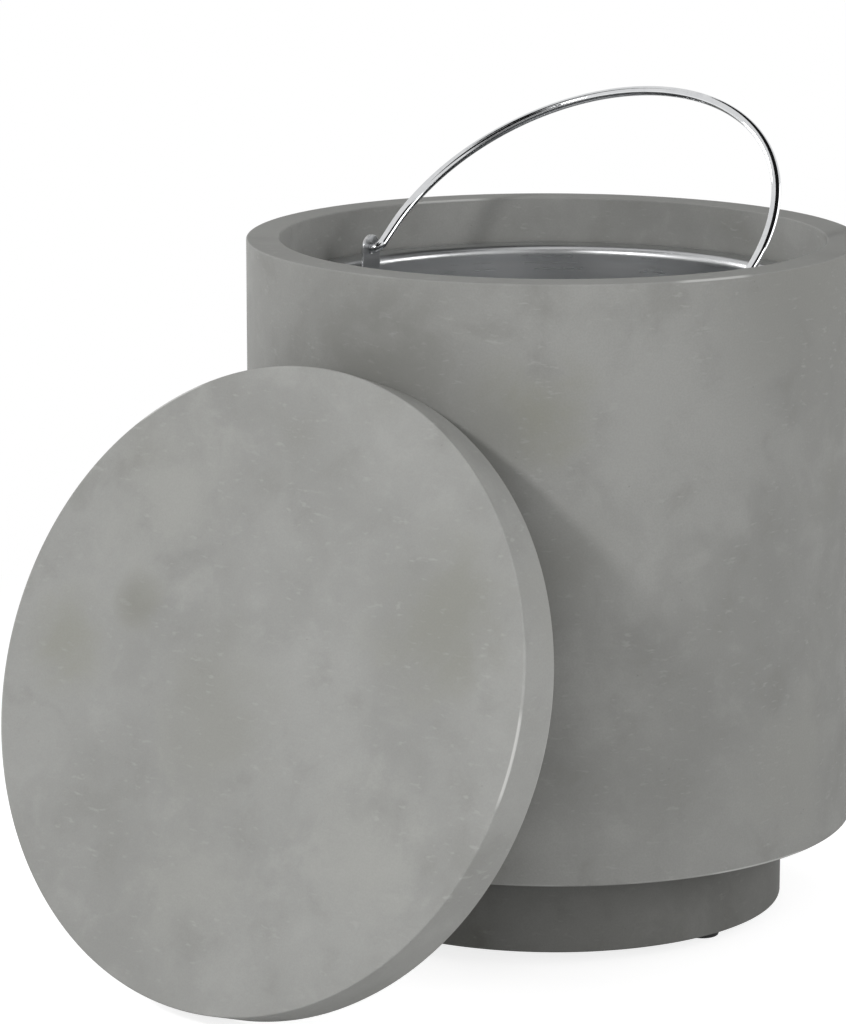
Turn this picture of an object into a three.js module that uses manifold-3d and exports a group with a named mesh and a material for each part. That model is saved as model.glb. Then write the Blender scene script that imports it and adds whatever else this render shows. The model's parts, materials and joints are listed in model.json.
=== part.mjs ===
// A round concrete side table with an ice bucket inside.
// The drum stands on a plinth, the bucket hangs in the drum, and the lid leans on the drum's front.
// Sizes are in millimetres. +Z is up, z = 0 is the ground and the lid leans on the -Y side.

import * as THREE from 'three';
import { mergeVertices } from 'three/addons/utils/BufferGeometryUtils.js';
import Module from 'manifold-3d';

const wasm = await Module();
wasm.setup();

// Fits and clearances
const seatGap = 0.3;
const bucketSideClearance = 2.5;
const wallToLedgeClearance = 6;
const bossClearance = 4;
const boltHoleClearance = 0.5;
const counterboreClearance = 2;
const bailRimClearance = 3;
const pivotClearance = 0.3;
const cutOverrun = 3;
const weldDistance = 0.0001;

// Drum
const drumDiameter = 400;
const drumHeight = 382;
const drumWall = 22;
const drumFloorThickness = 24;
const ledgeHeight = 12;
const rimRound = 1.2;
const drumFootRound = 1.2;
const drumInnerRound = 10;
const ledgeRound = 1.5;

// Plinth, set back from the drum's side
const plinthSetback = 45.5;
const plinthHeight = 57;
const plinthRingWidth = 49;
const plinthWebThickness = 18;
const plinthRound = 1.2;
const plinthRecessRound = 6;

// Feet, at equal angles in the middle of the plinth's ring
const footCount = 4;
const footTurnDegrees = -4;
const footHeight = 8.5;
const footPadRadius = 12;
const footPadTopRadius = 9.5;
const footPadRound = 1.5;
const footStudRadius = 4;
const footStudLength = 30;
const footStudDepthInPad = 5;

// Fastenings between the plinth and the drum, midway between the feet
const boltCount = 4;
const boltRadius = 4;
const boltHeadRadius = 7.5;
const boltHeadHeight = 5.3;
const boltGripInInsert = 13;
const washerRadius = 11;
const washerThickness = 1.6;
const insertWall = 2.2;
const insertLength = 18;
const insertEndThickness = 2;

// Ice bucket
const bucketDropBelowRim = 30;
const bucketDepth = 230;
const bucketSheet = 1.5;
const bucketLipWidth = 19.5;
const bucketTaper = 7;
const bucketCornerRound = 18;
const bucketNeckRound = 4;
const beadRadius = 2.5;
const basePanelRise = 4;
const basePanelMargin = 45;
const basePanelSlope = 8;

// Bail and its ears
const rodRadius = 3.25;
const bailLegLength = 21;
const bailBendRadius = 5.5;
const bailSwingDegrees = 51;
const bailEndRadius = 5;
const bailEndThickness = 2.5;
const bailEndStandoff = 0.6;
const earThickness = 2;
const earEyeRadius = 9;
const earBaseWidth = 36;
const earBaseDrop = 20;
const earBaseHeight = 18;
const earCornerRound = 4;
const rivetRadius = 1.6;
const rivetSpacing = 20;
const rivetHeadRadius = 3.2;
const rivetHeadHeight = 1.4;

// Lid
const lidOverhang = 2;
const lidThickness = 32;
const lidRound = 1.2;
const bossDepth = 7;
const bossRound = 1.5;
const lidLeanDegrees = 19;
const lidSideways = -12;
const bumperCount = 4;
const bumperRadius = 8;
const bumperThickness = 2;
const bumperRound = 0.5;

// How finely round shapes are divided
const roundSides = 64;
const studSides = 12;
const padSides = 20;
const hexSides = 6;
const rodSides = 8;
const rodSteps = 90;
const roundSteps = 3;
const beadSteps = 7;
const eyeSteps = 8;

// Sizes that follow from the ones above
const drumRadius = drumDiameter / 2;
const boreRadius = drumRadius - drumWall;
const bucketTopRadius = boreRadius - bucketSideClearance - bucketLipWidth;
const bucketBaseRadius = bucketTopRadius - bucketTaper;
const basePanelRadius = bucketBaseRadius - basePanelMargin;
const ledgeRadius = bucketTopRadius + wallToLedgeClearance;
const plinthBottom = footHeight;
const plinthTop = plinthBottom + plinthHeight;
const plinthRadius = drumRadius - plinthSetback;
const recessRadius = plinthRadius - plinthRingWidth;
const ringCircleRadius = (plinthRadius + recessRadius) / 2;
const webBottom = plinthTop - plinthWebThickness;
const drumBottom = plinthTop + seatGap;
const drumFloorTop = drumBottom + drumFloorThickness;
const rimHeight = drumBottom + drumHeight;
const bucketTop = rimHeight - bucketDropBelowRim;
const bucketBottom = bucketTop - bucketDepth;
const ledgeTop = bucketTop - 2 * beadRadius - seatGap;
const pivotHeight = bucketTop + bailRimClearance + bailEndRadius;
const lidRadius = drumRadius + lidOverhang;
const bossRadius = boreRadius - bossClearance;
const boltHoleRadius = boltRadius + boltHoleClearance;
const counterboreRadius = washerRadius + counterboreClearance;
const lidLean = THREE.MathUtils.degToRad(lidLeanDegrees);
const bailSwing = THREE.MathUtils.degToRad(bailSwingDegrees);

// What each piece is made of
const finishes = {
  concrete: { color: 0x9b9b98, roughness: 0.9, metalness: 0 },
  stainless: { color: 0xb9bbbd, roughness: 0.32, metalness: 1 },
  chrome: { color: 0xd8dadc, roughness: 0.08, metalness: 1 },
  zinc: { color: 0xa8aaac, roughness: 0.4, metalness: 1 },
  brass: { color: 0xb49a56, roughness: 0.4, metalness: 1 },
  rubber: { color: 0x1d1d1e, roughness: 0.8, metalness: 0 },
  clear: { color: 0xd9dcdc, roughness: 0.35, metalness: 0 },
};

// Turns a closed geometry into a solid that can be joined and cut
function solidOf(geometry) {
  const bare = geometry.clone();
  bare.deleteAttribute('normal');
  bare.deleteAttribute('uv');
  const merged = mergeVertices(bare, weldDistance);
  const corners = merged.index.array;
  const kept = [];
  for (let i = 0; i < corners.length; i += 3) {
    const [a, b, c] = corners.slice(i, i + 3);
    if (a !== b && b !== c && c !== a) kept.push(a, b, c);
  }
  return new wasm.Manifold(new wasm.Mesh({
    numProp: 3,
    vertProperties: new Float32Array(merged.attributes.position.array),
    triVerts: new Uint32Array(kept),
  }));
}

// Turns a solid back into a geometry
function geometryOf(solid) {
  const mesh = solid.getMesh();
  const geometry = new THREE.BufferGeometry();
  geometry.setAttribute('position', new THREE.BufferAttribute(mesh.vertProperties, mesh.numProp));
  geometry.setIndex(new THREE.BufferAttribute(mesh.triVerts, 1));
  geometry.computeVertexNormals();
  return geometry;
}

// Adds one named piece to a group
function addPiece(group, name, solid, finish) {
  const mesh = new THREE.Mesh(geometryOf(solid), new THREE.MeshStandardMaterial(finishes[finish]));
  mesh.name = name;
  group.add(mesh);
  return mesh;
}

// The points of an outline from its corners [x, y, radius], with an arc at each corner that has a radius
function roundedOutline(corners) {
  const points = [];
  corners.forEach(([x, y, radius = 0], i) => {
    const corner = new THREE.Vector2(x, y);
    if (radius === 0) {
      points.push(corner);
      return;
    }
    const [beforeX, beforeY] = corners.at(i - 1);
    const [afterX, afterY] = corners[(i + 1) % corners.length];
    const toBefore = new THREE.Vector2(beforeX - x, beforeY - y).normalize();
    const toAfter = new THREE.Vector2(afterX - x, afterY - y).normalize();
    const halfAngle = toBefore.angleTo(toAfter) / 2;
    const inward = toBefore.clone().add(toAfter).normalize();
    const centre = corner.clone().addScaledVector(inward, radius / Math.sin(halfAngle));
    const start = corner.clone().addScaledVector(toBefore, radius / Math.tan(halfAngle));
    const sweep = (Math.PI - 2 * halfAngle) * Math.sign(toAfter.cross(toBefore));
    for (let k = 0; k <= roundSteps; k += 1) {
      points.push(start.clone().rotateAround(centre, (sweep * k) / roundSteps));
    }
  });
  return points;
}

// A solid of revolution about Z, from the points [r, z] of half its section, in order round the section
function turned(points, sides) {
  const area = THREE.ShapeUtils.area(points);
  const ordered = area < 0 ? [...points].reverse() : points;
  const first = ordered[0];
  const closed = [...ordered, first.clone()];
  const geometry = new THREE.LatheGeometry(closed, sides);
  geometry.rotateX(Math.PI / 2);
  return solidOf(geometry);
}

// A plain round bar from one height to another
function bar(radius, low, high, sides) {
  const geometry = new THREE.CylinderGeometry(radius, radius, high - low, sides);
  geometry.rotateX(Math.PI / 2);
  geometry.translate(0, 0, (low + high) / 2);
  return solidOf(geometry);
}

// Copies of one thing at equal angles round the axis
function aroundAxis(count, firstAngle, make) {
  for (let i = 0; i < count; i += 1) {
    const angle = firstAngle + (i * 2 * Math.PI) / count;
    make(i + 1, angle);
  }
}

// A solid moved out from the axis and turned to an angle round it
function placedAt(solid, radius, angle) {
  const quarter = solid.translate([radius, 0, 0]);
  return quarter.rotate([0, 0, THREE.MathUtils.radToDeg(angle)]);
}

// Angles of the feet and the fastenings round the axis
const footStart = THREE.MathUtils.degToRad(footTurnDegrees);
const boltStart = footStart + Math.PI / boltCount;

// Drum: a cast shell with a floor, and a ledge in its bore that the bucket hangs on
function drumShell() {
  const ledgeWidth = boreRadius - ledgeRadius;
  const ledgeBottom = ledgeTop - ledgeHeight;
  let drum = turned(roundedOutline([
    [0, drumBottom],
    [drumRadius, drumBottom, drumFootRound],
    [drumRadius, rimHeight, rimRound],
    [boreRadius, rimHeight, rimRound],
    [boreRadius, ledgeTop],
    [ledgeRadius, ledgeTop, ledgeRound],
    [ledgeRadius, ledgeBottom],
    [boreRadius, ledgeBottom - ledgeWidth],
    [boreRadius, drumFloorTop, drumInnerRound],
    [0, drumFloorTop],
  ]), roundSides);
  const pocketRadius = boltHoleRadius + insertWall + seatGap;
  const pocket = bar(pocketRadius, drumBottom - cutOverrun, drumBottom + insertLength + seatGap, studSides);
  aroundAxis(boltCount, boltStart, (i, angle) => {
    drum = drum.subtract(placedAt(pocket, ringCircleRadius, angle));
  });
  return drum;
}

// Plinth: a ring with a web across its top, counterbored for the bolts and drilled for the foot studs
function plinth() {
  let base = turned(roundedOutline([
    [0, webBottom],
    [recessRadius, webBottom, plinthRecessRound],
    [recessRadius, plinthBottom],
    [plinthRadius, plinthBottom, plinthRound],
    [plinthRadius, plinthTop, plinthRound],
    [0, plinthTop],
  ]), roundSides);
  const boltHole = bar(boltHoleRadius, webBottom - cutOverrun, plinthTop + cutOverrun, studSides);
  const counterbore = bar(counterboreRadius, plinthBottom - cutOverrun, webBottom, padSides);
  aroundAxis(boltCount, boltStart, (i, angle) => {
    base = base.subtract(placedAt(boltHole.add(counterbore), ringCircleRadius, angle));
  });
  const studTop = footHeight - footStudDepthInPad + footStudLength;
  const studHole = bar(footStudRadius + seatGap, plinthBottom - cutOverrun, studTop + seatGap, studSides);
  aroundAxis(footCount, footStart, (i, angle) => {
    base = base.subtract(placedAt(studHole, ringCircleRadius, angle));
  });
  return base;
}

// Threaded insert, cast into the drum's floor and open below
function floorInsert() {
  const top = drumBottom + insertLength;
  const body = bar(boltHoleRadius + insertWall, drumBottom, top, studSides);
  return body.subtract(bar(boltHoleRadius, drumBottom - cutOverrun, top - insertEndThickness, studSides));
}

// Washer at the top of a counterbore
function plinthWasher() {
  const top = webBottom - seatGap;
  const disc = bar(washerRadius, top - washerThickness, top, padSides);
  const hole = bar(boltHoleRadius, top - washerThickness - cutOverrun, top + cutOverrun, studSides);
  return disc.subtract(hole);
}

// Hexagon bolt, head down, from under the washer into the insert
function plinthBolt() {
  const headTop = webBottom - washerThickness - 2 * seatGap;
  const head = bar(boltHeadRadius, headTop - boltHeadHeight, headTop, hexSides);
  return head.add(bar(boltRadius, headTop - boltHeadHeight / 2, drumBottom + boltGripInInsert, studSides));
}

// Foot pad with a socket for its stud
function footPad() {
  const top = plinthBottom - seatGap;
  const pad = turned(roundedOutline([
    [0, 0],
    [footPadRadius, 0, footPadRound],
    [footPadTopRadius, top],
    [0, top],
  ]), padSides);
  const socketBottom = footHeight - footStudDepthInPad - seatGap;
  return pad.subtract(bar(footStudRadius + seatGap, socketBottom, top + cutOverrun, studSides));
}

// Foot stud, from the pad's socket up into the plinth
function footStud() {
  const bottom = footHeight - footStudDepthInPad;
  return bar(footStudRadius, bottom, bottom + footStudLength, studSides);
}

// Inner radius of the bucket's wall at a height
function bucketInnerRadiusAt(height) {
  const share = (bucketTop - height) / bucketDepth;
  return THREE.MathUtils.lerp(bucketTopRadius, bucketBaseRadius, share) - bucketSheet;
}

// Where the ears and the rivets are, and how wide the bail stands between the ears
const earBottom = pivotHeight - earBaseDrop - earBaseHeight;
const earBaseTop = pivotHeight - earBaseDrop;
const rivetHeight = (earBottom + earBaseTop) / 2;
const earOuter = Math.sqrt(bucketInnerRadiusAt(earBottom) ** 2 - (earBaseWidth / 2) ** 2) - seatGap;
const earInner = earOuter - earThickness;
const bailHalfSpan = earInner - seatGap - bailBendRadius;

// A solid made along +Z, laid along +X for the right side (1) or along -X for the left side (-1)
function alongX(solid, side) {
  return solid.rotate([0, side * THREE.MathUtils.radToDeg(Math.PI / 2), 0]);
}

// Calls make for each rivet place of the right and the left ear
function atEachRivet(make) {
  for (const [side, sideName] of [[1, 'right'], [-1, 'left']]) {
    for (const [end, endName] of [[-1, 'front'], [1, 'rear']]) {
      make(side, (end * rivetSpacing) / 2, `${sideName}_${endName}`);
    }
  }
}

// Bucket: a drawn steel pail with a rolled bead round its rim and a raised panel in its base
function bucketShell() {
  const beadX = boreRadius - bucketSideClearance - beadRadius;
  const beadZ = bucketTop - beadRadius;
  const beadSweep = Math.PI * 1.5 + Math.asin((beadRadius - bucketSheet) / beadRadius);
  const bead = [];
  for (let k = beadSteps; k >= 0; k -= 1) {
    const angle = Math.PI / 2 - (beadSweep * k) / beadSteps;
    bead.push([beadX + beadRadius * Math.cos(angle), beadZ + beadRadius * Math.sin(angle)]);
  }
  const panelTop = bucketBottom + basePanelRise;
  let bucket = turned(roundedOutline([
    [0, panelTop],
    [basePanelRadius, panelTop],
    [basePanelRadius + basePanelSlope, bucketBottom],
    [bucketBaseRadius, bucketBottom, bucketCornerRound],
    [bucketTopRadius, bucketTop - bucketSheet, bucketNeckRound],
    ...bead,
    [bucketTopRadius - bucketSheet, bucketTop, bucketNeckRound + bucketSheet],
    [bucketBaseRadius - bucketSheet, bucketBottom + bucketSheet, bucketCornerRound - bucketSheet],
    [basePanelRadius + basePanelSlope, bucketBottom + bucketSheet],
    [basePanelRadius, panelTop + bucketSheet],
    [0, panelTop + bucketSheet],
  ]), roundSides);
  const hole = bar(rivetRadius + seatGap, earInner, bucketTopRadius + cutOverrun, studSides);
  atEachRivet((side, y) => {
    bucket = bucket.subtract(alongX(hole, side).translate([0, y, rivetHeight]));
  });
  return bucket;
}

// Ear: a flat T-shaped plate inside the bucket's wall, with an eye for the bail above the bucket's rim
function bailEar(side) {
  const halfWidth = earBaseWidth / 2;
  const eye = [];
  for (let k = 0; k <= eyeSteps; k += 1) {
    const angle = (Math.PI * k) / eyeSteps;
    eye.push([earEyeRadius * Math.cos(angle), pivotHeight + earEyeRadius * Math.sin(angle)]);
  }
  const outline = roundedOutline([
    [-halfWidth, earBottom, earCornerRound],
    [halfWidth, earBottom, earCornerRound],
    [halfWidth, earBaseTop, earCornerRound],
    [earEyeRadius, earBaseTop, earCornerRound],
    ...eye,
    [-earEyeRadius, earBaseTop, earCornerRound],
    [-halfWidth, earBaseTop, earCornerRound],
  ]);
  const flatSides = { depth: earThickness, bevelEnabled: false };
  const plate = new THREE.ExtrudeGeometry(new THREE.Shape(outline), flatSides);
  plate.rotateX(Math.PI / 2);
  plate.rotateZ(Math.PI / 2);
  plate.translate(side > 0 ? earInner : -earOuter, 0, 0);
  const eyeHole = bar(rodRadius + pivotClearance, earInner - cutOverrun, earOuter + cutOverrun, studSides);
  const rivetHole = bar(rivetRadius + seatGap, earInner - cutOverrun, earOuter + cutOverrun, studSides);
  let ear = solidOf(plate).subtract(alongX(eyeHole, side).translate([0, 0, pivotHeight]));
  for (const end of [-1, 1]) {
    ear = ear.subtract(alongX(rivetHole, side).translate([0, (end * rivetSpacing) / 2, rivetHeight]));
  }
  return ear;
}

// Rivet: a domed head inside the ear and a set head outside the bucket's wall
function earRivet() {
  const inner = earInner - seatGap;
  const outer = bucketInnerRadiusAt(rivetHeight) + bucketSheet + seatGap;
  const shoulder = rivetHeadRadius - rivetRadius;
  return turned(roundedOutline([
    [0, inner - rivetHeadHeight],
    [rivetRadius, inner - rivetHeadHeight],
    [rivetRadius + shoulder, inner],
    [rivetRadius, inner],
    [rivetRadius, outer],
    [rivetRadius + shoulder, outer],
    [rivetRadius, outer + rivetHeadHeight],
    [0, outer + rivetHeadHeight],
  ]), studSides);
}

// A flat path in X and Y, stood up in the X-Z plane
class StandingPath extends THREE.Curve {
  constructor(flatPath) {
    super();
    this.flatPath = flatPath;
  }

  getPoint(t, target = new THREE.Vector3()) {
    const point = this.flatPath.getPoint(t);
    return target.set(point.x, 0, point.y);
  }
}

// Bail: one round rod, hooked through both ears, with an upset head on each end, upright on its pivots
function bailHandle() {
  const rodEnd = earOuter + bailEndStandoff + bailEndThickness / 2;
  const bendX = bailHalfSpan + bailBendRadius;
  const path = new THREE.Path();
  path.moveTo(rodEnd, 0);
  path.lineTo(bendX, 0);
  path.absarc(bendX, bailBendRadius, bailBendRadius, -Math.PI / 2, -Math.PI, true);
  path.lineTo(bailHalfSpan, bailLegLength);
  path.absarc(0, bailLegLength, bailHalfSpan, 0, Math.PI, false);
  path.lineTo(-bailHalfSpan, bailBendRadius);
  path.absarc(-bendX, bailBendRadius, bailBendRadius, 0, -Math.PI / 2, true);
  path.lineTo(-rodEnd, 0);
  const rim = new THREE.EllipseCurve(0, 0, rodRadius, rodRadius).getPoints(rodSides).slice(1);
  const alongPath = { extrudePath: new StandingPath(path), steps: rodSteps };
  const rod = new THREE.ExtrudeGeometry(new THREE.Shape(rim), alongPath);
  const headInner = earOuter + bailEndStandoff;
  const head = turned(roundedOutline([
    [0, headInner],
    [bailEndRadius, headInner],
    [bailEndRadius, headInner + bailEndThickness, bailEndThickness / 2],
    [0, headInner + bailEndThickness],
  ]), studSides);
  return solidOf(rod).add(alongX(head, 1)).add(alongX(head, -1));
}

// Lid: a cast disc with a boss below it, its underside at z = 0
function lidSlab() {
  return turned(roundedOutline([
    [0, -bossDepth],
    [bossRadius, -bossDepth, bossRound],
    [bossRadius, 0],
    [lidRadius, 0, lidRound],
    [lidRadius, lidThickness, lidRound],
    [0, lidThickness],
  ]), roundSides);
}

// Bumper: a soft disc under the lid, where the lid rests on the drum's rim
function lidBumper() {
  const top = -seatGap;
  const bottom = top - bumperThickness;
  return turned(roundedOutline([
    [0, bottom],
    [bumperRadius, bottom, bumperRound],
    [bumperRadius, top],
    [0, top],
  ]), padSides);
}

// The drum with its plinth, fastenings and feet
const stand = new THREE.Group();
addPiece(stand, 'drum_shell', drumShell(), 'concrete');
addPiece(stand, 'plinth', plinth(), 'concrete');
aroundAxis(boltCount, boltStart, (i, angle) => {
  addPiece(stand, `floor_insert_${i}`, placedAt(floorInsert(), ringCircleRadius, angle), 'brass');
  addPiece(stand, `plinth_washer_${i}`, placedAt(plinthWasher(), ringCircleRadius, angle), 'zinc');
  addPiece(stand, `plinth_bolt_${i}`, placedAt(plinthBolt(), ringCircleRadius, angle), 'zinc');
});
aroundAxis(footCount, footStart, (i, angle) => {
  addPiece(stand, `foot_pad_${i}`, placedAt(footPad(), ringCircleRadius, angle), 'rubber');
  addPiece(stand, `foot_stud_${i}`, placedAt(footStud(), ringCircleRadius, angle), 'zinc');
});

// The bucket with its ears and rivets
const bucket = new THREE.Group();
addPiece(bucket, 'bucket_shell', bucketShell(), 'stainless');
addPiece(bucket, 'bail_ear_right', bailEar(1), 'stainless');
addPiece(bucket, 'bail_ear_left', bailEar(-1), 'stainless');
atEachRivet((side, y, place) => {
  const rivet = alongX(earRivet(), side).translate([0, y, rivetHeight]);
  addPiece(bucket, `ear_rivet_${place}`, rivet, 'stainless');
});

// The bail, swung back from upright about its pivots
const bail = new THREE.Group();
bail.position.set(0, 0, pivotHeight);
bail.rotation.x = -bailSwing;
addPiece(bail, 'bail_handle', bailHandle(), 'chrome');

// The lid, standing on the ground on its lower edge and leaning on the drum
const lid = new THREE.Group();
const edgeReach = lidRound + (lidRadius - lidRound) * Math.sin(lidLean) - lidRound * Math.cos(lidLean);
const bossReach = bossRadius * Math.sin(lidLean) + bossDepth * Math.cos(lidLean);
lid.position.set(
  lidSideways,
  -(drumRadius + seatGap + Math.max(edgeReach, bossReach)),
  lidRound + (lidRadius - lidRound) * Math.cos(lidLean) - lidRound * Math.sin(lidLean),
);
lid.rotation.x = Math.PI / 2 - lidLean;
addPiece(lid, 'lid_slab', lidSlab(), 'concrete');
aroundAxis(bumperCount, Math.PI / bumperCount, (i, angle) => {
  addPiece(lid, `lid_bumper_${i}`, placedAt(lidBumper(), (boreRadius + drumRadius) / 2, angle), 'clear');
});

// The whole table, with its origin on the ground under the middle of its box
const table = new THREE.Group();
table.add(stand, bucket, bail, lid);
table.updateMatrixWorld(true);
const middle = new THREE.Box3().setFromObject(table, true).getCenter(new THREE.Vector3());
table.position.set(-middle.x, -middle.y, 0);

export default table;
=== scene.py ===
"""The looks of a round concrete side table: drum, plinth, ice bucket with its bail, and leaning lid."""
import json
import math

import bmesh
import bpy
from mathutils import Matrix, Vector, noise


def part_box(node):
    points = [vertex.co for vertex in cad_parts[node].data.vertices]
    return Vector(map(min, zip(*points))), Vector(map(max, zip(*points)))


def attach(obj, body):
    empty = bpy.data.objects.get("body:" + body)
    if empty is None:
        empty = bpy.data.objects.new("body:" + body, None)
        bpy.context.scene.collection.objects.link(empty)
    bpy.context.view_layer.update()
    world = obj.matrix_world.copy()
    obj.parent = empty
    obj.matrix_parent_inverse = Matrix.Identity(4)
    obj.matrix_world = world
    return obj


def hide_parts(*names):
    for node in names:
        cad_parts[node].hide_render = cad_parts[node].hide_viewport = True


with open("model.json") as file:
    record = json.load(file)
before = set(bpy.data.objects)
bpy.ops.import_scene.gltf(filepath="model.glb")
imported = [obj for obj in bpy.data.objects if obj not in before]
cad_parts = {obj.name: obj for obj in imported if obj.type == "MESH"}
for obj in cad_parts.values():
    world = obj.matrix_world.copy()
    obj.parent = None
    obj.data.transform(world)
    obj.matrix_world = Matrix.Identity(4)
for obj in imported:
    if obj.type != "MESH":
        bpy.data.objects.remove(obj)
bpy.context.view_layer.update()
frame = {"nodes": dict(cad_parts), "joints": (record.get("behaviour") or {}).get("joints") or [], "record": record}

# Places that the frame gives, in metres
DRUM_LOW, DRUM_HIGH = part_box("drum_shell")
PLINTH_LOW, PLINTH_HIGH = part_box("plinth")
BUCKET_LOW, BUCKET_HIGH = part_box("bucket_shell")
JOINTS = {joint["name"]: joint for joint in frame["joints"]}
MOUNTS = {mount["name"]: mount for mount in frame["record"]["mounts"]}
AXIS = (DRUM_LOW + DRUM_HIGH) / 2
AXIS.z = 0
DRUM_RADIUS = (DRUM_HIGH.x - DRUM_LOW.x) / 2
PLINTH_RADIUS = (PLINTH_HIGH.x - PLINTH_LOW.x) / 2
BUCKET_RADIUS = (BUCKET_HIGH.x - BUCKET_LOW.x) / 2

# Pieces that come in fours are numbered from 1
FOURS = range(1, 5)

# Clearances
HOLE_GAP = 0.0003
SEAT_GAP = 0.0003
CUT_OVERRUN = 0.003

# Ice bucket
SHEET = 0.0015
BUCKET_TOP_RADIUS = 0.156
BUCKET_BASE_RADIUS = 0.149
BUCKET_CORNER = 0.018
BUCKET_NECK = 0.004
BEAD_RADIUS = 0.0025
PANEL_RADIUS = 0.104
PANEL_SLOPE = 0.008
PANEL_RISE = 0.004
PANEL_ROUND = 0.006

# Drum and plinth
DRUM_WALL = 0.022
DRUM_FLOOR = 0.024
LEDGE_HEIGHT = 0.012
LEDGE_RADIUS = 0.162
LEDGE_TOP = BUCKET_HIGH.z - 2 * BEAD_RADIUS - SEAT_GAP
EDGE_ROUND = 0.0012
LEDGE_ROUND = 0.0015
FLOOR_ROUND = 0.010
PLINTH_RING = 0.049
PLINTH_WEB = 0.018
RECESS_ROUND = 0.006
COUNTERBORE_GAP = 0.002
BOLT_HOLE_RADIUS = 0.0045

# A casting's surface lies lower than the ideal one by up to this, in waves of these lengths
CAST_UNEVENNESS = 0.00025
WAVE = 0.07
RIPPLE = WAVE / 4
RIPPLE_OFFSET = Vector((7, 3, 5))
MEAN_SHARE, WAVE_SHARE, RIPPLE_SHARE = 0.5, 0.4, 0.1

# Lid and its bumpers
LID_OVERHANG = 0.002
LID_RADIUS = DRUM_RADIUS + LID_OVERHANG
LID_THICKNESS = 0.032
BOSS_GAP = 0.004
BOSS_DEPTH = 0.007
BOSS_ROUND = 0.0015
BOSS_RADIUS = DRUM_RADIUS - DRUM_WALL - BOSS_GAP
BUMPER_RADIUS = 0.008
BUMPER_THICKNESS = 0.002
BUMPER_FLAT_SHARE, BUMPER_SIDE_SHARE = 0.55, 0.55
BUMPER_DOME_ROUND = 0.004
BUMPER_EDGE_ROUND = 0.0006

# The lid's leaning place, which takes a lid with its underside at height zero to where it stands
LID_NORMAL = Vector(MOUNTS["table_top"]["axis"]).normalized()
LID_ACROSS = Vector((1, 0, 0))
LID_UP = LID_NORMAL.cross(LID_ACROSS)
LID_CENTRE = Vector(MOUNTS["table_top"]["pos_m"]) - LID_NORMAL * LID_THICKNESS
LID_PLACE = Matrix.Translation(LID_CENTRE) @ Matrix((LID_ACROSS, LID_UP, LID_NORMAL)).transposed().to_4x4()

# Bail
ROD_RADIUS = 0.00325
BAIL_LEG = 0.021
BAIL_BEND = 0.0055
BAIL_SWING = math.radians(51)
HEAD_RADIUS = 0.005
HEAD_THICKNESS = 0.0025
HEAD_ROUND = 0.0008
HEAD_STANDOFF = 0.0006

# Ears and rivets
EAR_GAP = 0.0003
EYE_RADIUS = 0.009
EYE_HEIGHT = 0.020
EAR_CORNER = 0.004
EAR_EDGE = 0.0004
RIVET_HOLE_RADIUS = 0.0019
RIVET_SHANK_RADIUS = 0.0016
RIVET_HEAD = 0.0014
SET_HEAD_SHARE = 0.92

# Feet
FOOT_SOCKET_RADIUS = 0.0043
FOOT_SOCKET_BOTTOM = 0.0032
FOOT_HOLLOW = 0.0006
FOOT_HOLLOW_ROUND = 0.0003
FOOT_HOLLOW_SHARE = 0.72
FOOT_BOTTOM_ROUND = 0.0015
FOOT_WAIST_SHARE, FOOT_WAIST_HEIGHT_SHARE = 0.96, 0.45
FOOT_WAIST_ROUND = 0.002
FOOT_TOP_RADIUS = 0.0095
FOOT_TOP_ROUND = 0.0006

# Bolts and washers
BOLT_HEAD_RADIUS = 0.0075
BOLT_HEAD_HEIGHT = 0.0053
BOLT_CHAMFER = 0.0011
CHAMFER_STEEPNESS = 1.1
CONE_HEIGHT_SHARE = 0.999
BOLT_SHANK_RADIUS = 0.004
BOLT_TIP_ROUND = 0.0008
WASHER_BORE_RADIUS = 0.0045
WASHER_RADIUS = 0.011
WASHER_EDGE = 0.0003

# Fineness of the meshes
TURNS = 256
SMALL_TURNS = 64
RIVET_TURNS = 40
ROD_TURNS = 40
HEXAGON_TURNS = 6
BEVEL_STEPS = 3
ARC_STEPS = 7
BEAD_STEPS = 20
EYE_STEPS = 24
EYE_HOLE_STEPS = 40
RIVET_HOLE_STEPS = 24
DOME_STEPS = 10
HEAD_STEPS = 6
BEND_STEPS = 14
LEG_STEPS = 4
HOOP_STEPS = 48
LONGEST_ROW = 0.012
END_ROW = 0.0005

# A radius that counts as none, a distance at which points are merged, and the place where turned pieces start
TINY = 1e-9
MERGE_DISTANCE = 1e-6
ORIGIN = Vector((0, 0, 0))


def new_object(name, data):
    """An object for a mesh, curve, camera or light, linked into the scene."""
    made = bpy.data.objects.new(name, data)
    bpy.context.scene.collection.objects.link(made)
    return made


def arc(cx, cy, radius, first, last, steps):
    """Points of an arc in the plane."""
    angles = [first + (last - first) * k / steps for k in range(steps + 1)]
    return [(cx + radius * math.cos(a), cy + radius * math.sin(a)) for a in angles]


def corner_arc(before, corner, after, radius):
    """Points of the arc that rounds a corner between two straight runs."""
    back, on = (before - corner).normalized(), (after - corner).normalized()
    half = back.angle(on) / 2
    centre = corner + (back + on).normalized() * (radius / math.sin(half))
    start = corner + back * (radius / math.tan(half)) - centre
    turn = (math.pi - 2 * half) * (1 if on.cross(back) > 0 else -1)
    return [centre + Matrix.Rotation(turn * k / ARC_STEPS, 2) @ start for k in range(ARC_STEPS + 1)]


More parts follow.
